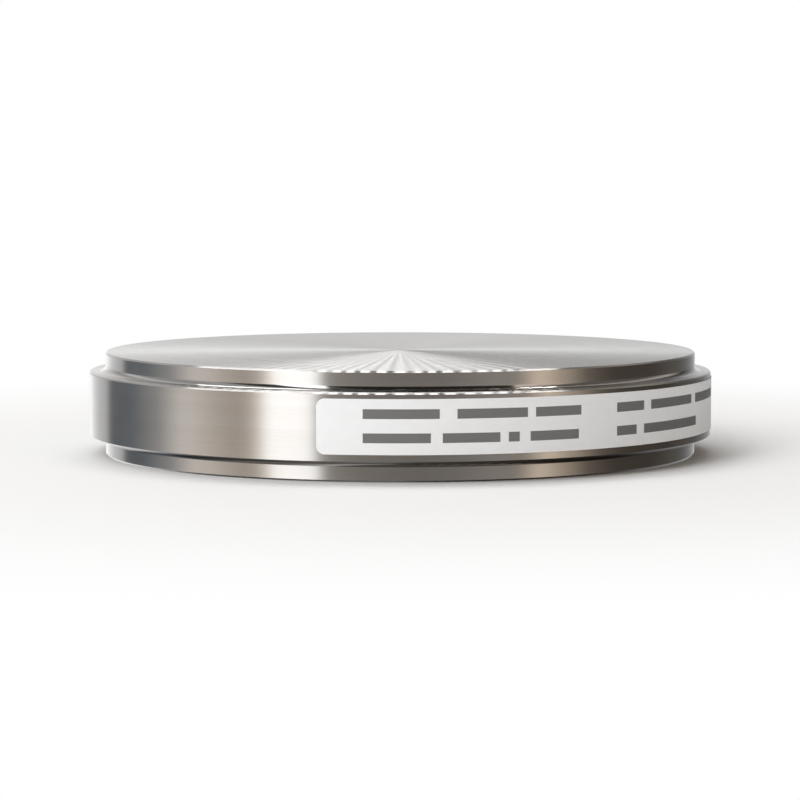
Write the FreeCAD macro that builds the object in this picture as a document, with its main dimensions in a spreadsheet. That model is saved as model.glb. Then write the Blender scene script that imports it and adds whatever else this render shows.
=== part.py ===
# Dental milling blank: a turned titanium disc that a milling machine grips by its rim.
# The disc is one solid. A tall collar runs round its middle, and a lower, narrower step
# stands above and below the collar. A self-adhesive label is wrapped round the collar.
# Lengths are in millimetres and angles in degrees. The origin is the centre of the
# underside and +Z is up. The label's first end is just left of the front, which faces -Y.
import FreeCAD, Part
import math
import os

import Sketcher

# Driving dimensions: alias, value, what it is.
SIZES = [
    ("collar_diameter", "98", "the collar that the holder grips"),
    ("collar_height", "10", "the collar, from shoulder to shoulder"),
    ("blank_thickness", "16", "the whole disc, from face to face"),
    ("step_diameter", "93", "the step above and the step below the collar"),
    ("face_chamfer", "0.25", "the edge where each face meets its step"),
    ("collar_chamfer", "0.2", "the two edges of the collar"),
    ("root_radius", "0.8", "the corner that the tool nose leaves below each step wall"),
    ("mark_diameter", "1.6", "the facing tool's mark in the middle of each face"),
    ("mark_depth", "0.12", "how deep that mark goes"),
    ("label_length", "108", "the label, measured round the collar"),
    ("label_height", "8", "the label, measured along the axis"),
    ("label_thickness", "0.1", "the film and its adhesive"),
    ("label_corner", "1.2", "the rounding of the label's four corners"),
    ("label_lift", "0.2", "how far the label's middle sits above the collar's middle"),
    ("label_first_end", "-104.1", "where the label starts, as an angle from +X"),
]
# How closely an edge has to match a wanted place to be taken for it.
EDGE_TOLERANCE = 1e-4


def size_sheet(doc):
    """The spreadsheet that every sketch and feature reads."""
    sheet = doc.addObject("Spreadsheet::Sheet", "Sizes")
    for row, (alias, value, meaning) in enumerate(SIZES, start=1):
        sheet.set(f"A{row}", alias)
        sheet.set(f"B{row}", value)
        sheet.set(f"C{row}", meaning)
        sheet.setAlias(f"B{row}", alias)
    doc.recompute()
    return sheet


def axial_sketch(body, name):
    """An empty sketch on the body's XZ plane: across it is the radius, up it the height."""
    sketch = body.newObject("Sketcher::SketchObject", name)
    plane = next(f for f in body.Origin.OriginFeatures if f.Role == "XZ_Plane")
    sketch.AttachmentSupport = (plane, "")
    sketch.MapMode = "FlatFace"
    return sketch


def add_outline(sketch, corners):
    """A closed outline through the corners, level and upright lines held so. Returns its line numbers."""
    ends = corners[1:] + corners[:1]
    lines = []
    for start, end in zip(corners, ends):
        a = FreeCAD.Vector(*start, 0)
        b = FreeCAD.Vector(*end, 0)
        lines.append(sketch.addGeometry(Part.LineSegment(a, b), False))
        if start[0] == end[0]:
            sketch.addConstraint(Sketcher.Constraint("Vertical", lines[-1]))
        elif start[1] == end[1]:
            sketch.addConstraint(Sketcher.Constraint("Horizontal", lines[-1]))
    for this, following in zip(lines, lines[1:] + lines[:1]):
        sketch.addConstraint(Sketcher.Constraint("Coincident", this, 2, following, 1))
    return lines


def pin_to_origin(sketch, line):
    """Holds the start of a line on the sketch's origin."""
    sketch.addConstraint(Sketcher.Constraint("Coincident", line, 1, -1, 1))


def pin_to_axis(sketch, line):
    """Holds the start of a line on the turning axis."""
    sketch.addConstraint(Sketcher.Constraint("PointOnObject", line, 1, -2))


def dimension(sketch, kind, name, points, expression):
    """A dimension between two points, each a line number and an end, that follows an expression."""
    span = sketch.getPoint(*points[2:]) - sketch.getPoint(*points[:2])
    drawn = span.x if kind == "DistanceX" else span.y
    number = sketch.addConstraint(Sketcher.Constraint(kind, *points, drawn))
    sketch.renameConstraint(number, name)
    sketch.setExpression(f"Constraints.{name}", expression)


def turn(body, kind, name, sketch):
    """A full Revolution or Groove of a sketch about the vertical axis."""
    feature = body.newObject(kind, name)
    feature.Profile = sketch
    feature.ReferenceAxis = (sketch, ["V_Axis"])
    feature.Angle = 360
    return feature


def ring_edges(shape, radius, heights):
    """Names of the circular edges of this radius that lie at these heights."""
    return [
        f"Edge{number}"
        for number, edge in enumerate(shape.Edges, start=1)
        if isinstance(edge.Curve, Part.Circle)
        and abs(edge.Curve.Radius - radius) < EDGE_TOLERANCE
        and any(abs(edge.Curve.Center.z - z) < EDGE_TOLERANCE for z in heights)
    ]


def dress(body, kind, name, base, edges, size_property, alias):
    """A chamfer or fillet on the named edges of a feature, sized by one cell of the sheet."""
    feature = body.newObject(kind, name)
    feature.Base = (base, edges)
    feature.setExpression(size_property, f"Sizes.{alias}")
    body.Document.recompute()
    return feature


def blank_profile(body, sheet):
    """Half of the disc's section: underside, lower step, collar, upper step, top face."""
    collar = sheet.collar_diameter / 2
    step = sheet.step_diameter / 2
    top = sheet.blank_thickness
    lower = (top - sheet.collar_height) / 2
    upper = lower + sheet.collar_height
    sketch = axial_sketch(body, "BlankProfile")
    corners = [
        (0, 0),
        (step, 0),
        (step, lower),
        (collar, lower),
        (collar, upper),
        (step, upper),
        (step, top),
        (0, top),
    ]
    under, low_wall, _, rim, _, high_wall, face, axis = add_outline(sketch, corners)
    pin_to_origin(sketch, under)
    sketch.addConstraint(Sketcher.Constraint("Equal", low_wall, high_wall))
    sketch.addConstraint(Sketcher.Constraint("Vertical", low_wall, 2, high_wall, 1))
    origin = (-1, 1)
    dimension(sketch, "DistanceX", "StepRadius", (*origin, under, 2), "Sizes.step_diameter / 2")
    dimension(sketch, "DistanceX", "CollarRadius", (*origin, rim, 1), "Sizes.collar_diameter / 2")
    dimension(sketch, "DistanceY", "CollarHeight", (rim, 1, rim, 2), "Sizes.collar_height")
    dimension(sketch, "DistanceY", "Thickness", (*origin, face, 2), "Sizes.blank_thickness")
    return sketch


def centre_mark_profile(body, sheet):
    """The two small cones that the facing tool leaves at the middle of the faces."""
    reach = sheet.mark_diameter / 2
    depth = sheet.mark_depth
    top = sheet.blank_thickness
    sketch = axial_sketch(body, "CentreMarks")
    _, low_floor, low_axis = add_outline(sketch, [(0, 0), (reach, 0), (0, depth)])
    high_axis, _, high_face = add_outline(sketch, [(0, top), (0, top - depth), (reach, top)])
    pin_to_origin(sketch, low_floor - 1)
    pin_to_axis(sketch, high_axis)
    origin = (-1, 1)
    half = "Sizes.mark_diameter / 2"
    dimension(sketch, "DistanceX", "LowReach", (*origin, low_floor, 1), half)
    dimension(sketch, "DistanceY", "LowDepth", (*origin, low_axis, 1), "Sizes.mark_depth")
    dimension(sketch, "DistanceX", "HighReach", (high_face, 2, high_face, 1), half)
    dimension(sketch, "DistanceY", "HighDepth", (high_axis, 2, high_axis, 1), "Sizes.mark_depth")
    dimension(sketch, "DistanceY", "HighFace", (*origin, high_axis, 1), "Sizes.blank_thickness")
    return sketch


def turned_blank(doc, sheet):
    """The metal disc, turned from bar in one piece."""
    body = doc.addObject("PartDesign::Body", "TurnedBlank")
    body.Label = "turned_blank"
    stock = turn(body, "PartDesign::Revolution", "Turning", blank_profile(body, sheet))
    doc.recompute()

    collar = sheet.collar_diameter / 2
    step = sheet.step_diameter / 2
    top = sheet.blank_thickness
    lower = (top - sheet.collar_height) / 2
    shoulders = (lower, lower + sheet.collar_height)
    roots = ring_edges(stock.Shape, step, shoulders)
    rounded = dress(body, "PartDesign::Fillet", "Roots", stock, roots, "Radius", "root_radius")
    rims = ring_edges(rounded.Shape, collar, shoulders)
    broken = dress(body, "PartDesign::Chamfer", "CollarEdges", rounded, rims, "Size", "collar_chamfer")
    edges = ring_edges(broken.Shape, step, (0, top))
    dress(body, "PartDesign::Chamfer", "FaceEdges", broken, edges, "Size", "face_chamfer")
    turn(body, "PartDesign::Groove", "CentreMarkCut", centre_mark_profile(body, sheet))
    doc.recompute()
    return body


def label_section(body, sheet):
    """The label's section: a thin upright strip that lies against the collar."""
    inner = sheet.collar_diameter / 2
    outer = inner + sheet.label_thickness
    low = sheet.blank_thickness / 2 + sheet.label_lift - sheet.label_height / 2
    high = low + sheet.label_height
    sketch = axial_sketch(body, "LabelSection")
    corners = [(inner, low), (outer, low), (outer, high), (inner, high)]
    foot, front, _, _ = add_outline(sketch, corners)
    origin = (-1, 1)
    seat = "Sizes.collar_diameter / 2"
    bottom = "Sizes.blank_thickness / 2 + Sizes.label_lift - Sizes.label_height / 2"
    dimension(sketch, "DistanceX", "Seat", (*origin, foot, 1), seat)
    dimension(sketch, "DistanceX", "Film", (foot, 1, foot, 2), "Sizes.label_thickness")
    dimension(sketch, "DistanceY", "Bottom", (*origin, foot, 1), bottom)
    dimension(sketch, "DistanceY", "Tall", (front, 1, front, 2), "Sizes.label_height")
    return sketch


def corner_edges(shape, thickness):
    """Names of the four short straight edges that run through the film at the label's corners."""
    return [
        f"Edge{number}"
        for number, edge in enumerate(shape.Edges, start=1)
        if isinstance(edge.Curve, Part.Line) and abs(edge.Length - thickness) < EDGE_TOLERANCE
    ]


def rim_label(doc, sheet):
    """The label, bent round the collar, with round corners."""
    body = doc.addObject("PartDesign::Body", "RimLabel")
    body.Label = "rim_label"
    strip = turn(body, "PartDesign::Revolution", "Strip", label_section(body, sheet))
    span = "Sizes.label_length / (Sizes.collar_diameter / 2) * 180 / pi * 1 deg"
    strip.setExpression("Angle", span)
    doc.recompute()

    corners = corner_edges(strip.Shape, sheet.label_thickness)
    dress(body, "PartDesign::Fillet", "Corners", strip, corners, "Radius", "label_corner")
    body.Placement = FreeCAD.Placement(FreeCAD.Vector(), FreeCAD.Rotation(FreeCAD.Vector(0, 0, 1), 1))
    body.setExpression("Placement.Rotation.Angle", "Sizes.label_first_end * 1 deg")
    doc.recompute()
    return body


def check(doc, bodies):
    """Stops the build if any object failed or a piece is not one valid solid."""
    for item in doc.Objects:
        if "Invalid" in item.State or "Error" in item.State:
            raise RuntimeError(f"{item.Name} failed: {item.State}")
    for body in bodies:
        shape = body.Shape
        if shape.isNull() or not shape.isValid() or len(shape.Solids) != 1:
            raise RuntimeError(f"{body.Label} is not one valid solid")


def main():
    doc = FreeCAD.newDocument("MillingBlank")
    sheet = size_sheet(doc)
    bodies = [turned_blank(doc, sheet), rim_label(doc, sheet)]
    check(doc, bodies)
    os.makedirs("parts", exist_ok=True)
    for body in bodies:
        body.Shape.exportStep(f"parts/{body.Label}.step")
        box = body.Shape.BoundBox
        print(f"{body.Label}: {body.Shape.Volume:.2f} mm3, z {box.ZMin:.2f} to {box.ZMax:.2f}")


main()
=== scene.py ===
# The milling disc in its studio. Every length is in metres, in the frame of the CAD model.
import math

import bpy
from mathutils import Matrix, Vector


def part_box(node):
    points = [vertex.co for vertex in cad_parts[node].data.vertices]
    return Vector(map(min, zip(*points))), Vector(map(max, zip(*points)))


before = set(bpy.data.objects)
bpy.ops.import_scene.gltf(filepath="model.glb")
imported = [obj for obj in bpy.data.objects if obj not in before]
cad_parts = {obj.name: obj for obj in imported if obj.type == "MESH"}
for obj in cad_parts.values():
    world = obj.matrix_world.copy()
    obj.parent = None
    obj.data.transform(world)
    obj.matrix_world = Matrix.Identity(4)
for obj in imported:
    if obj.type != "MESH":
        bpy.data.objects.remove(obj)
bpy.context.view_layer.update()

MM = 0.001
WHITE = (1.0, 1.0, 1.0, 1.0)

_, blank_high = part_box("turned_blank")
label_low, label_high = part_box("rim_label")
collar_radius = blank_high.x
thickness = blank_high.z
label_radius = label_high.x
# The label's lowest x is at its first end, left of the front, and its highest y at its other end.
label_first_end = -math.acos(label_low.x / label_radius)
label_last_end = math.asin(label_high.y / label_radius)
label_length = (label_last_end - label_first_end) * collar_radius

# The camera stands where the photograph was taken from: so far in front of the turning axis, and so
# high above the underside. The sensor's width is in millimetres.
CAMERA_DISTANCE = 462 * MM
CAMERA_HEIGHT = 46.4 * MM
SENSOR = 36.0
DISC_SHARE_OF_WIDTH = 0.775


def node(tree, kind, inputs=(), **settings):
    """A shader node with its settings, and its inputs given by number or name."""
    made = tree.nodes.new(kind)
    for name, value in settings.items():
        setattr(made, name, value)
    for name, value in dict(inputs).items():
        if isinstance(value, bpy.types.NodeSocket):
            tree.links.new(value, made.inputs[name])
        else:
            made.inputs[name].default_value = value
    return made


def calc(tree, operation, *values):
    """The result of one Math node."""
    return node(tree, "ShaderNodeMath", dict(enumerate(values)), operation=operation).outputs[0]


def vector(tree, operation, *values):
    """The vector that one Vector Math node gives."""
    made = node(tree, "ShaderNodeVectorMath", dict(enumerate(values)), operation=operation)
    return made.outputs["Vector"]


def measure(tree, operation, *values):
    """The number that one Vector Math node gives, such as a length."""
    made = node(tree, "ShaderNodeVectorMath", dict(enumerate(values)), operation=operation)
    return made.outputs["Value"]


def scaled(tree, direction, length):
    """A vector times a number."""
    made = node(tree, "ShaderNodeVectorMath", {0: direction, "Scale": length}, operation="SCALE")
    return made.outputs["Vector"]


def axes_of(tree, value):
    """The X, Y and Z of a vector, by name."""
    return node(tree, "ShaderNodeSeparateXYZ", {0: value}).outputs


def ramp(tree, factor, stops, interpolation="LINEAR"):
    """A colour ramp through (place, colour) stops."""
    made = node(tree, "ShaderNodeValToRGB", {"Fac": factor})
    elements = made.color_ramp.elements
    made.color_ramp.interpolation = interpolation
    elements[0].position, elements[0].color = stops[0]
    elements[1].position, elements[1].color = stops[-1]
    for place, colour in stops[1:-1]:
        elements.new(place).color = colour
    return made.outputs["Color"]


def ranged(tree, value, source, target):
    """A value moved smoothly from its source range to the target range, and held at its ends."""
    inputs = {
        "Value": value,
        "From Min": source[0],
        "From Max": source[1],
        "To Min": target[0],
        "To Max": target[1],
    }
    return node(tree, "ShaderNodeMapRange", inputs, interpolation_type="SMOOTHSTEP").outputs["Result"]


def mixed_colour(tree, factor, first, second):
    """The first colour where the factor is 0 and the second where it is 1."""
    inputs = {"Factor": factor, "A": first, "B": second}
    return node(tree, "ShaderNodeMix", inputs, data_type="RGBA").outputs["Result"]


def noise_along(tree, place, scale, detail, roughness):
    """Noise that changes along one line only."""
    inputs = {"W": place, "Scale": scale, "Detail": detail, "Roughness": roughness}
    return node(tree, "ShaderNodeTexNoise", inputs, noise_dimensions="1D").outputs["Fac"]


def noise_in_space(tree, place, scale, detail):
    """Noise that changes from place to place."""
    inputs = {"Vector": place, "Scale": scale, "Detail": detail}
    return node(tree, "ShaderNodeTexNoise", inputs).outputs["Fac"]


def grey(level, warmth=0.0):
    """A grey with a little red added and blue taken away by its warmth."""
    return (level * (1 + warmth), level, level * (1 - warmth), 1.0)


def new_material(name):
    """An empty node material and its surface output."""
    made = bpy.data.materials.new(name)
    made.use_nodes = True
    made.node_tree.nodes.clear()
    output = node(made.node_tree, "ShaderNodeOutputMaterial")
    return made, made.node_tree, output.inputs["Surface"]


def object_place(tree):
    """Where on the object a point lies, in the frame of the CAD model."""
    return node(tree, "ShaderNodeTexCoord").outputs["Object"]


def from_axis(tree, place):
    """The level line from the turning axis to a place: its length and its direction."""
    level_place = vector(tree, "MULTIPLY", place, (1, 1, 0))
    return measure(tree, "LENGTH", level_place), vector(tree, "NORMALIZE", level_place)


# The feed marks: how far apart they are in millimetres, the share of each that is its outer flank,
# and that flank's slopes from its top to its foot, on the faces and on the shoulders.
FEED = 0.2
FACE_SHARE = 0.44
SHOULDER_SHARE = 0.75
FACE_SLOPES = (0.5, 0.8)
SHOULDER_SLOPES = (0.57, 0.74)
# Chatter waves to a turn. Each wave makes the flanks flatter by up to the dip, tips them to either
# side, and tips the upper edges. Towards the middle, where the cut is slow, the waves fade.
CHATTER_WAVES = 125
CHATTER_STARTS = (3 * MM, 12 * MM)
FACE_DIP = 0.28
SHOULDER_DIP = 0.12
CHATTER_TIP = 0.06
EDGE_TIP = -0.35
# The part of the upper edges that is tipped: the angle of its middle, just right of the front, and
# how far from it the tips begin and stop to fade.
TEETH_MIDDLE = math.radians(-86.5)
TEETH_ENDS = (math.radians(16), math.radians(21))
# How closely a surface has to lean at 45 degrees to be taken for an edge.
EDGE_TOLERANCE = 0.02
# How fine the rings, the haze and the chatter's drift are, how far the drift shifts the chatter's
# phase in radians, and how high the bump of the fine rings is.
FINE_RINGS = 5.0
BROAD_RINGS = 0.3
HAZE = 150.0
DRIFT = 6.0
DRIFT_SHIFT = 6.0
RING_HEIGHT = 0.003 * MM
# The metal's roughness between two rings and on one, what haze adds to it, and the share of it that
# the faces and the hollow corners lose.
ROUGHNESS = (0.19, 0.21)
HAZE_ROUGHNESS = 0.05
FACE_SHEEN = 0.16
ROOT_SHEEN = 0.5

# The hollow corner that runs round at the foot of each step, in the CAD model's sizes.
STEP_RADIUS = 46.5 * MM
COLLAR_HEIGHT = 10 * MM
ROOT_RADIUS = 0.8 * MM
# It is shaded a little sharper at its top than its shape is: the rise of its normal there, and the
# share of the true rise that the normal adds on the way down.
ROOT_STEP = 0.25 * MM
ROOT_RISE = 0.7


def smooth_normal(tree, height, radius, outward):
    """The surface's normal, smooth in the hollow corners, and 1 in those corners and 0 elsewhere."""
    normal = node(tree, "ShaderNodeNewGeometry").outputs["Normal"]
    from_middle = calc(tree, "SUBTRACT", height, thickness / 2)
    side = calc(tree, "SIGN", from_middle)
    top_of_root = COLLAR_HEIGHT / 2 + ROOT_RADIUS
    below_top = calc(tree, "SUBTRACT", top_of_root, calc(tree, "ABSOLUTE", from_middle))
    inside_rim = calc(tree, "SUBTRACT", STEP_RADIUS + ROOT_RADIUS, radius)
    rise = calc(tree, "MULTIPLY_ADD", below_top, ROOT_RISE, ROOT_STEP)
    upright = node(tree, "ShaderNodeCombineXYZ", {"Z": calc(tree, "MULTIPLY", side, rise)}).outputs[0]
    hollow = vector(tree, "NORMALIZE", vector(tree, "ADD", scaled(tree, outward, inside_rim), upright))
    low_enough = calc(tree, "GREATER_THAN", below_top, 0.0)
    in_root = calc(tree, "MULTIPLY", low_enough, calc(tree, "GREATER_THAN", inside_rim, 0.0))
    inputs = {"Factor": in_root, "A": normal, "B": hollow}
    return node(tree, "ShaderNodeMix", inputs, data_type="VECTOR").outputs["Result"], in_root


def metal_tint(tree, path, haze):
    """The metal's colour: almost even, with faint broad rings and haze."""
    broad_rings = noise_along(tree, path, BROAD_RINGS, 2.0, 0.5)
    mottle = calc(tree, "MULTIPLY_ADD", haze, 0.6, calc(tree, "MULTIPLY", broad_rings, 0.4))
    return ramp(tree, mottle, [(0.35, grey(0.55, 0.03)), (0.65, grey(0.595, 0.02))])


def chatter(tree, radius, outward):
    """The angle about the turning axis, the chatter's phase there, and its wave, from 0 to 1."""
    directions = axes_of(tree, outward)
    angle = calc(tree, "ARCTAN2", directions["Y"], directions["X"])
    drift = noise_in_space(tree, outward, DRIFT, 1.0)
    turned = calc(tree, "MULTIPLY", angle, CHATTER_WAVES)
    phase = calc(tree, "MULTIPLY_ADD", drift, DRIFT_SHIFT, turned)
    uneven = ranged(tree, drift, (0.35, 0.65), (0.5, 1.0))
    strength = calc(tree, "MULTIPLY", uneven, ranged(tree, radius, CHATTER_STARTS, (0.0, 0.5)))
    return angle, phase, calc(tree, "MULTIPLY_ADD", calc(tree, "SINE", phase), strength, 0.5)


def feed_marks(tree, radius, path, wave):
    """1 on the outer flank of each feed mark and 0 beside it, and the slope there."""
    to_shoulder = (STEP_RADIUS, STEP_RADIUS + ROOT_RADIUS)
    flank_share = ranged(tree, radius, to_shoulder, (FACE_SHARE, SHOULDER_SHARE))
    slopes = [ranged(tree, radius, to_shoulder, ends) for ends in zip(FACE_SLOPES, SHOULDER_SLOPES)]
    deepest_dip = ranged(tree, radius, to_shoulder, (FACE_DIP, SHOULDER_DIP))
    within_mark = calc(tree, "FRACT", calc(tree, "DIVIDE", path, FEED))
    down_flank = calc(tree, "DIVIDE", within_mark, flank_share)
    full_slope = ranged(tree, down_flank, (0.0, 1.0), slopes)
    dip = calc(tree, "MULTIPLY", calc(tree, "SUBTRACT", 1.0, wave), deepest_dip)
    on_flank = calc(tree, "LESS_THAN", down_flank, 1.0)
    return on_flank, calc(tree, "MULTIPLY", on_flank, calc(tree, "SUBTRACT", full_slope, dip))


def edge_teeth(tree, angle, upright, wave):
    """The slope that the chatter adds to the upper edges near the front, and 0 elsewhere."""
    on_edge = calc(tree, "COMPARE", upright, math.sqrt(0.5), EDGE_TOLERANCE)
    from_teeth = calc(tree, "ABSOLUTE", calc(tree, "SUBTRACT", angle, TEETH_MIDDLE))
    edge_tip = ranged(tree, from_teeth, TEETH_ENDS, (EDGE_TIP, 0.0))
    return calc(tree, "MULTIPLY", calc(tree, "MULTIPLY", wave, edge_tip), on_edge)


def turned_titanium():
    """Titanium as the lathe leaves it: fine rings all over, and rays where the tool chattered."""
    made, tree, surface = new_material("turned_titanium")
    place = object_place(tree)
    height = axes_of(tree, place)["Z"]
    radius, outward = from_axis(tree, place)
    onward = vector(tree, "CROSS_PRODUCT", (0, 0, 1), outward)
    # The rings follow the tool's path along the section, in millimetres: outwards, then up a wall.
    path = calc(tree, "DIVIDE", calc(tree, "ADD", radius, height), MM)
    fine_rings = noise_along(tree, path, FINE_RINGS, 2.0, 0.6)
    haze = noise_in_space(tree, place, HAZE, 3.0)

    # The faces and edges lean with the feed marks and the chatter. The walls stay plain.
    normal, in_root = smooth_normal(tree, height, radius, outward)
    upright = axes_of(tree, normal)["Z"]
    on_face = ranged(tree, calc(tree, "ABSOLUTE", upright), (0.9, 0.99), (0.0, 1.0))
    angle, phase, wave = chatter(tree, radius, outward)
    on_flank, flank = feed_marks(tree, radius, path, wave)
    slope = calc(tree, "MULTIPLY_ADD", on_face, flank, edge_teeth(tree, angle, upright, wave))
    swing = calc(tree, "MULTIPLY", calc(tree, "COSINE", phase), CHATTER_TIP)
    sideways = calc(tree, "MULTIPLY", swing, on_flank)
    lean = scaled(tree, outward, slope)
    tip = scaled(tree, onward, calc(tree, "MULTIPLY", on_face, sideways))
    leaning = vector(tree, "NORMALIZE", vector(tree, "ADD", normal, vector(tree, "ADD", lean, tip)))
    bump_inputs = {"Height": fine_rings, "Distance": RING_HEIGHT, "Strength": 0.2, "Normal": leaning}

    # The faces shine more than the walls, and the hollow corners most.
    face_sheen = calc(tree, "MULTIPLY", on_face, FACE_SHEEN)
    sheen = calc(tree, "MULTIPLY_ADD", in_root, ROOT_SHEEN, face_sheen)
    ringed = ranged(tree, fine_rings, (0.3, 0.7), ROUGHNESS)
    dull = calc(tree, "MULTIPLY_ADD", haze, HAZE_ROUGHNESS, ringed)
    metal_inputs = {
        "Base Color": metal_tint(tree, path, haze),
        "Metallic": 1.0,
        "Roughness": calc(tree, "MULTIPLY", dull, calc(tree, "SUBTRACT", 1.0, sheen)),
        "Anisotropic": 0.9,
        "Anisotropic Rotation": 0.25,
        "Tangent": node(tree, "ShaderNodeTangent", direction_type="RADIAL", axis="Z").outputs[0],
        "Normal": node(tree, "ShaderNodeBump", bump_inputs).outputs["Normal"],
    }
    metal = node(tree, "ShaderNodeBsdfPrincipled", metal_inputs)
    tree.links.new(metal.outputs["BSDF"], surface)
    return made


# The label's print, as plain bars. Each row: its middle's height on the label, and its bars, each
# from and to a distance from the label's first end. In millimetres, as is the height of a bar.
PRINT_ROWS = [
    (5.85, [(6.5, 17.6), (20.0, 30.4), (32.0, 39.6), (46.0, 52.0), (53.8, 66.4), (68.0, 80.6), (82.4, 92.6)]),
    (2.4, [(6.5, 16.4), (18.0, 26.2), (27.8, 29.2), (30.8, 39.0), (46.0, 50.6), (52.2, 68.4)]),
]
BAR_HEIGHT = 1.4
# The greys of the ink and of the film's cut edge, and how fine the film's grain is and how high. The cut
# edge's grey is partly its adhesive and partly painted shade.
INK = grey(0.18)
CUT_EDGE_ADHESIVE_AND_SHADE = grey(0.3, 0.06)
GRAIN = 900.0
GRAIN_HEIGHT = 0.008 * MM


def row_of_words(tree, along, up, middle, words):
    """1 where a row of the print has ink, 0 elsewhere. Along and up are in millimetres."""
    full = label_length / MM
    stops = [(0.0, grey(0))]
    for start, end in words:
        stops += [(start / full, grey(1)), (end / full, grey(0))]
    in_word = ramp(tree, calc(tree, "DIVIDE", along, full), stops, "CONSTANT")
    from_middle = calc(tree, "ABSOLUTE", calc(tree, "SUBTRACT", up, middle))
    in_row = calc(tree, "LESS_THAN", from_middle, BAR_HEIGHT / 2)
    return calc(tree, "MULTIPLY", in_word, in_row)


def print_ink(tree, place):
    """1 where the label has ink, 0 elsewhere."""
    axes = axes_of(tree, place)
    angle = calc(tree, "ARCTAN2", axes["Y"], axes["X"])
    along = calc(tree, "MULTIPLY", calc(tree, "SUBTRACT", angle, label_first_end), collar_radius / MM)
    up = calc(tree, "DIVIDE", calc(tree, "SUBTRACT", axes["Z"], label_low.z), MM)
    rows = [row_of_words(tree, along, up, middle, words) for middle, words in PRINT_ROWS]
    return calc(tree, "MAXIMUM", *rows)


def label_film():
    """The label: white film, a little glossy, with two rows of plain bars for print."""
    made, tree, surface = new_material("label_film")
    place = object_place(tree)
    grain = noise_in_space(tree, place, GRAIN, 2.0)
    film = ramp(tree, grain, [(0.3, grey(0.9, -0.012)), (0.7, grey(0.92, -0.012))])
    printed = mixed_colour(tree, print_ink(tree, place), film, INK)
    # The cut edge of the film is painted darker: partly its adhesive, partly painted shade along the label's
    # edge.
    _, outward = from_axis(tree, place)
    normal = node(tree, "ShaderNodeNewGeometry").outputs["Normal"]
    is_cut = calc(tree, "LESS_THAN", measure(tree, "DOT_PRODUCT", normal, outward), 0.5)
    colour = mixed_colour(tree, is_cut, printed, CUT_EDGE_ADHESIVE_AND_SHADE)
    bump = node(tree, "ShaderNodeBump", {"Height": grain, "Distance": GRAIN_HEIGHT, "Strength": 0.3})
    film_inputs = {"Base Color": colour, "Roughness": 0.42, "Normal": bump.outputs["Normal"]}
    paper = node(tree, "ShaderNodeBsdfPrincipled", film_inputs)
    tree.links.new(paper.outputs["BSDF"], surface)
    return made


# The floor's radius, and how far from the turning axis it begins and stops to fade into white.
FLOOR_RADIUS = 3.0
FLOOR_FADE = (1.1 * collar_radius, 3.5 * collar_radius)


def floor():
    """A pale floor that the metal doesn't mirror. Away from the disc it fades into the background."""
    bpy.ops.mesh.primitive_circle_add(vertices=96, radius=FLOOR_RADIUS, fill_type="NGON", location=(0, 0, 0))
    made = bpy.context.object
    made.name = "floor"
    material, tree, surface = new_material("floor")
    distance = measure(tree, "LENGTH", object_place(tree))
    fade = ranged(tree, distance, FLOOR_FADE, (0.0, 1.0))
    paper = node(tree, "ShaderNodeBsdfDiffuse", {"Color": grey(0.94)}).outputs[0]
    white = node(tree, "ShaderNodeEmission", {"Color": WHITE, "Strength": 1.0}).outputs[0]
    mixed = node(tree, "ShaderNodeMixShader", {0: fade, 1: paper, 2: white}).outputs[0]
    tree.links.new(mixed, surface)
    made.data.materials.append(material)
    made.visible_glossy = False


# The room as the metal sees it, first level with the disc and then above it, by the angle in degrees
# from the camera's side, left negative: where, how bright, and how warm. The brightest is the tall
# soft panel at the front left.
EYE_LEVEL = [
    (-180, 1.15, 0.0),
    (-162, 1.2, 0.0),
    (-148, 0.75, -0.01),
    (-136.5, 0.6, 0.0),
    (-132, 0.1, -0.12),
    (-114, 0.17, -0.12),
    (-98, 0.38, 0.02),
    (-86, 0.88, 0.07),
    (-76, 0.84, 0.1),
    (-61, 0.7, 0.12),
    (-56, 0.85, 0.12),
    (-51, 1.6, 0.08),
    (-48, 2.3, 0.02),
    (-32, 2.6, 0.0),
    (-28.5, 0.6, 0.09),
    (-10, 0.44, 0.1),
    (15, 0.36, 0.09),
    (36, 0.48, 0.09),
    (46, 0.34, 0.1),
    (54, 1.0, 0.2),
    (63, 0.48, 0.22),
    (75, 0.14, 0.2),
    (90, 0.055, 0.22),
    (114, 0.045, 0.18),
    (126, 0.06, 0.12),
    (136, 0.1, 0.06),
    (148, 0.2, 0.0),
    (156, 0.3, -0.02),
    (164, 0.45, -0.02),
    (171, 0.85, -0.01),
    (180, 1.15, 0.0),
]
OVERHEAD_LEVEL = [
    (-180, 0.7, 0.0),
    (-165, 0.8, 0.0),
    (-152, 0.6, 0.02),
    (-142, 0.35, 0.04),
    (-130, 0.75, 0.0),
    (-118, 0.4, 0.0),
    (-100, 0.4, 0.0),
    (-80, 0.5, 0.0),
    (-70, 0.05, 0.05),
    (-52, 0.04, 0.05),
    (-49, 2.3, 0.02),
    (-32, 2.6, 0.0),
    (-29, 0.42, 0.05),
    (42, 0.42, 0.07),
    (46, 0.8, 0.15),
    (66, 0.6, 0.15),
    (80, 0.13, 0.1),
    (112, 0.12, 0.1),
    (130, 0.5, 0.1),
    (142, 0.04, 0.05),
    (153, 0.2, 0.0),
    (165, 0.5, 0.0),
    (180, 0.7, 0.0),
]
BRIGHTEST_WALL = 3.0
# How far up, as a share of straight up, the room changes from the first ring to the second.
WALLS_TO_CEILING = (-0.02, 0.12)
# The room is dark low down behind the camera. A direction's height and this share of its depth say
# how low it goes: it is darkest under the first value, with this much light left, and not darkened
# over the second.
DEPTH_SHARE = 0.35
LOW_FRONT = (-0.55, -0.3)
LOW_LIGHT = 0.2
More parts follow.
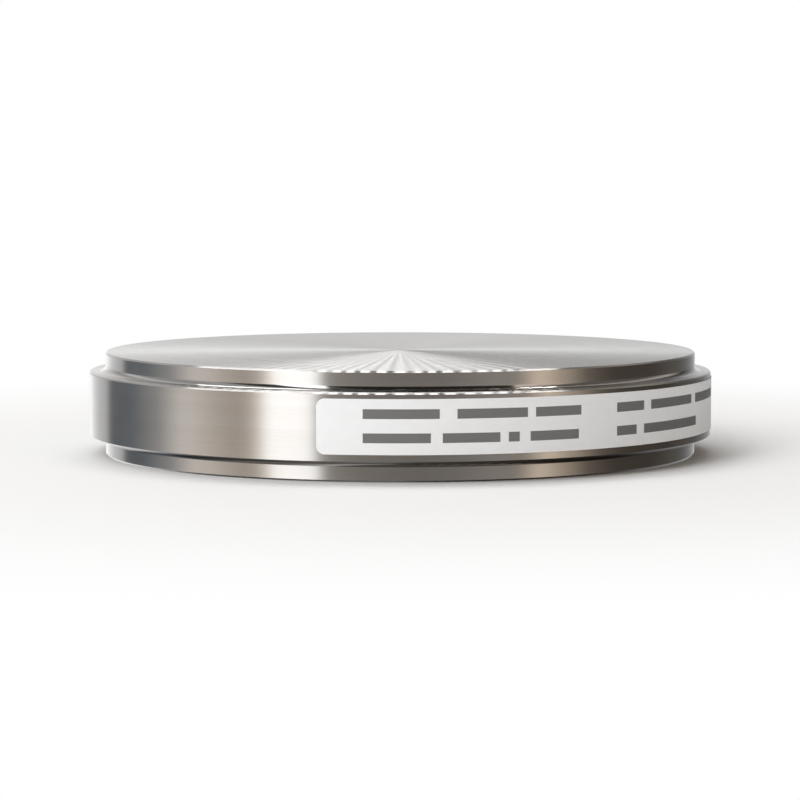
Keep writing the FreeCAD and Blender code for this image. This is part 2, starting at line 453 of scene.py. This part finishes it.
# The black flag above the camera: which part of the disc's front it darkens, left and right of the
# middle, where it starts upwards and ends backwards as shares of a direction, how soft its two side
# edges are, and how much light it leaves.
FLAG_ENDS = (math.radians(-14), math.radians(22))
FLAG_FOOT = (0.42, 0.55)
FLAG_BACK = (0.02, 0.12)
FLAG_SOFTNESS = 0.02
FLAG_BLACK = 0.05


def ring_of_walls(tree, turn, stops):
    """The colour round the room, as a share of the brightest. Turn goes from 0 to 1, left to right."""
    colours = []
    for degrees, level, warmth in stops:
        colours.append(((degrees + 180) / 360, grey(level / BRIGHTEST_WALL, warmth)))
    return ramp(tree, turn, colours)


def beside_flag(tree, direction):
    """1 where a direction passes beside the black flag, and almost 0 where it meets it."""
    axes = axes_of(tree, direction)
    high = ranged(tree, axes["Z"], FLAG_FOOT, (0.0, 1.0))
    inside = calc(tree, "MULTIPLY", high, ranged(tree, axes["Y"], FLAG_BACK, (1.0, 0.0)))
    for end in FLAG_ENDS:
        # The end of the flag that the disc's front shows at this angle.
        side = math.copysign(1, end)
        outwards = (side * math.cos(end), side * math.sin(end), 0)
        beyond = measure(tree, "DOT_PRODUCT", direction, outwards)
        reach = abs(math.sin(end))
        edge = (reach - FLAG_SOFTNESS, reach + FLAG_SOFTNESS)
        inside = calc(tree, "MULTIPLY", inside, ranged(tree, beyond, edge, (1.0, 0.0)))
    return calc(tree, "SUBTRACT", 1.0, calc(tree, "MULTIPLY", inside, 1 - FLAG_BLACK))


def studio():
    """The world: plain white to the camera, and to everything else a room with panels and a flag."""
    world = bpy.data.worlds.new("studio")
    world.use_nodes = True
    bpy.context.scene.world = world
    tree = world.node_tree
    tree.nodes.clear()
    direction = node(tree, "ShaderNodeTexCoord").outputs["Generated"]
    axes = axes_of(tree, direction)
    towards_camera = calc(tree, "MULTIPLY", axes["Y"], -1.0)
    angle = calc(tree, "ARCTAN2", axes["X"], towards_camera)
    turn = calc(tree, "ADD", calc(tree, "DIVIDE", angle, 2 * math.pi), 0.5)
    upwards = ranged(tree, axes["Z"], WALLS_TO_CEILING, (0.0, 1.0))
    rings = [ring_of_walls(tree, turn, stops) for stops in (EYE_LEVEL, OVERHEAD_LEVEL)]
    walls = mixed_colour(tree, upwards, *rings)
    towards_front = calc(tree, "MULTIPLY_ADD", axes["Y"], DEPTH_SHARE, axes["Z"])
    low = ranged(tree, towards_front, LOW_FRONT, (LOW_LIGHT, 1.0))
    shaded = scaled(tree, walls, calc(tree, "MULTIPLY", low, beside_flag(tree, direction)))
    room = node(tree, "ShaderNodeBackground", {"Color": shaded, "Strength": BRIGHTEST_WALL}).outputs[0]
    white = node(tree, "ShaderNodeBackground", {"Color": WHITE, "Strength": 1.0}).outputs[0]
    is_camera = node(tree, "ShaderNodeLightPath").outputs["Is Camera Ray"]
    mixed = node(tree, "ShaderNodeMixShader", {0: is_camera, 1: room, 2: white}).outputs[0]
    node(tree, "ShaderNodeOutputWorld", {"Surface": mixed})


# How high the three lamps hang that face straight down.
LAMP_HEIGHT = 0.74


def soft_lamp(name, place, width, depth, brightness, turn=0.0):
    """A soft lamp that faces straight down. A brightness of 1 looks as bright as plain white."""
    lamp = bpy.data.lights.new(name, "AREA")
    lamp.shape = "RECTANGLE"
    lamp.size = width
    lamp.size_y = depth
    lamp.energy = brightness * math.pi * width * depth
    made = bpy.data.objects.new(name, lamp)
    bpy.context.collection.objects.link(made)
    made.location = place
    made.rotation_euler.z = turn
    made.visible_camera = False
    return made


def lamps():
    """A wide lamp over the back of the disc, a smaller one on each side of it, and one for the label."""
    soft_lamp("overhead", (-0.028, 0.26, LAMP_HEIGHT), 0.54, 0.32, 2.67)
    soft_lamp("overhead_left", (-0.415, 0.19, LAMP_HEIGHT), 0.48, 0.16, 3.0, math.radians(-48))
    soft_lamp("overhead_right", (0.378, 0.108, LAMP_HEIGHT), 0.14, 0.12, 4.4, math.radians(40))
    key = soft_lamp("key", (-0.6, -0.51, 0.62), 0.8, 0.6, 3.3)
    key.rotation_euler = (-key.location).to_track_quat("-Z", "Y").to_euler()
    key.visible_glossy = False


def camera():
    """The photograph's point of view, framed closer."""
    lens = bpy.data.cameras.new("camera")
    made = bpy.data.objects.new("camera", lens)
    bpy.context.collection.objects.link(made)
    made.location = (0, -CAMERA_DISTANCE, CAMERA_HEIGHT)
    drop = math.atan((CAMERA_HEIGHT - thickness / 2) / CAMERA_DISTANCE)
    made.rotation_euler = (math.pi / 2 - drop, 0, 0)
    half_view = math.asin(collar_radius / math.hypot(CAMERA_DISTANCE, CAMERA_HEIGHT))
    lens.sensor_width = SENSOR
    lens.lens = SENSOR * DISC_SHARE_OF_WIDTH / 2 / math.tan(half_view)
    lens.clip_start = 10 * MM
    bpy.context.scene.camera = made


def dress(name, material):
    """Gives a CAD node its material in every slot."""
    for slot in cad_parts[name].material_slots:
        slot.material = material


dress("turned_blank", turned_titanium())
dress("rim_label", label_film())
floor()
studio()
lamps()
camera()
bpy.context.scene.view_settings.view_transform = "Standard"
